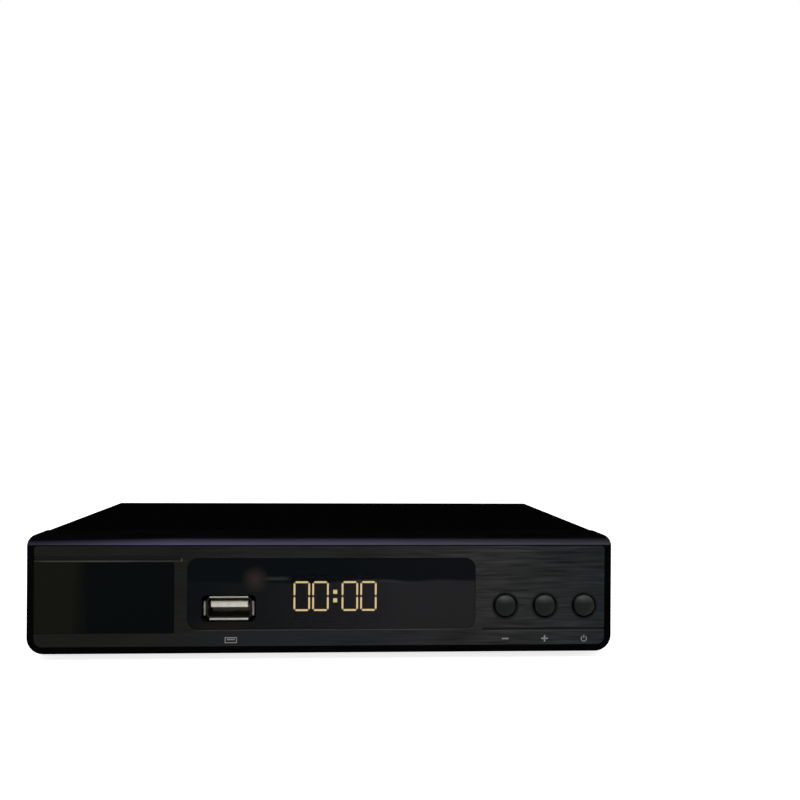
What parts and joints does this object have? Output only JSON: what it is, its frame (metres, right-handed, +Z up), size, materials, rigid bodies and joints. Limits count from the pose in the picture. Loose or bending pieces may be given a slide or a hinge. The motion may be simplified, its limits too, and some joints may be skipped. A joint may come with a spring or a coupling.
{
  "type": "satellite receiver",
  "caption": "Slim black satellite TV receiver: brushed front with a smoked clock window, USB socket and round push keys, vented steel case, aerial and video sockets behind",
  "frame": {"origin": "under the middle of the whole receiver, on the surface that it stands on", "axes": "+X to the right seen from the front, +Y to the rear, +Z up; the front faces -Y"},
  "size_m": [0.175, 0.1204, 0.0376],
  "materials": {
    "bezel_plastic": "gloss moulded black",
    "plate_metal": "dark brushed",
    "inlay_gloss": "high gloss",
    "smoked_window": "smoked clear",
    "key_plastic": "gloss",
    "plunger_plastic": "matte",
    "switch_steel": "plain",
    "board_green": "solder resist",
    "screw_steel": "plated",
    "screw_black": "blackened",
    "display_black": "matte",
    "segment_lit": "lit",
    "segment_dark": "unlit",
    "receiver_dark": "dark clear resin",
    "leg_tin": "tinned",
    "shell_plated": "plated",
    "tongue_white": "matte",
    "contact_gold": "gold plated",
    "case_black": "fine matt black",
    "foot_rubber": "matte",
    "standoff_brass": "turned",
    "tuner_steel": "tinned",
    "socket_nickel": "nickel plated",
    "insulator_white": "matte",
    "block_black": "matte",
    "video_yellow": "matte",
    "sound_white": "matte",
    "sound_red": "matte",
    "chip_black": "matte",
    "pad_grey": "soft",
    "sink_aluminium": "extruded",
    "can_sleeve": "shrunk sleeve",
    "header_cream": "matte",
    "ribbon_grey": "matte"
  },
  "bodies": {
    "housing": {"front_bezel": "bezel_plastic", "face_plate": "plate_metal", "inlay_plate": "inlay_gloss", "display_window": "smoked_window", "tact_switch_bodies": "switch_steel", "front_board": "board_green", "front_board_screws": "screw_steel", "display_housing": "display_black", "lit_segments": "segment_lit", "unlit_segments": "segment_dark", "remote_receiver": "receiver_dark", "receiver_legs": "leg_tin", "data_port_shell": "shell_plated", "data_port_tongue": "tongue_white", "data_port_contacts": "contact_gold", "chassis_tray": "case_black", "top_cover": "case_black", "cover_rear_screws": "screw_steel", "cover_side_screws": "screw_black", "bezel_screws": "screw_steel", "rubber_feet": "foot_rubber", "main_board": "board_green", "board_standoffs": "standoff_brass", "board_screws": "screw_steel", "tuner_frame": "tuner_steel", "tuner_lid": "tuner_steel", "aerial_input_socket": "socket_nickel", "aerial_loop_socket": "socket_nickel", "aerial_insulators": "insulator_white", "jack_block": "block_black", "video_collar": "video_yellow", "left_sound_collar": "sound_white", "right_sound_collar": "sound_red", "jack_sleeves": "socket_nickel", "video_port_shell": "shell_plated", "video_port_tongue": "block_black", "power_inlet": "block_black", "inlet_pin": "socket_nickel", "processor": "chip_black", "thermal_pad": "pad_grey", "heat_sink": "sink_aluminium", "memory_chip": "chip_black", "flash_chip": "chip_black", "crystal": "leg_tin", "regulators": "chip_black", "power_inductors": "chip_black", "electrolytic_capacitors": "can_sleeve", "ribbon_headers": "header_cream", "front_ribbon_cable": "ribbon_grey"},
    "channel_down": {"channel_down_key": "key_plastic", "channel_down_plunger": "plunger_plastic"},
    "channel_up": {"channel_up_key": "key_plastic", "channel_up_plunger": "plunger_plastic"},
    "power": {"power_key": "key_plastic", "power_plunger": "plunger_plastic"}
  },
  "joints": [
    {"name": "channel_down_press", "type": "slide", "parent": "housing", "child": "channel_down", "axis": [0, 1, 0], "range_m": [0, 0.0004], "stiffness_N_per_m": 4000},
    {"name": "channel_up_press", "type": "slide", "parent": "housing", "child": "channel_up", "axis": [0, 1, 0], "range_m": [0, 0.0004], "stiffness_N_per_m": 4000},
    {"name": "power_press", "type": "slide", "parent": "housing", "child": "power", "axis": [0, 1, 0], "range_m": [0, 0.0004], "stiffness_N_per_m": 4000}
  ]
}
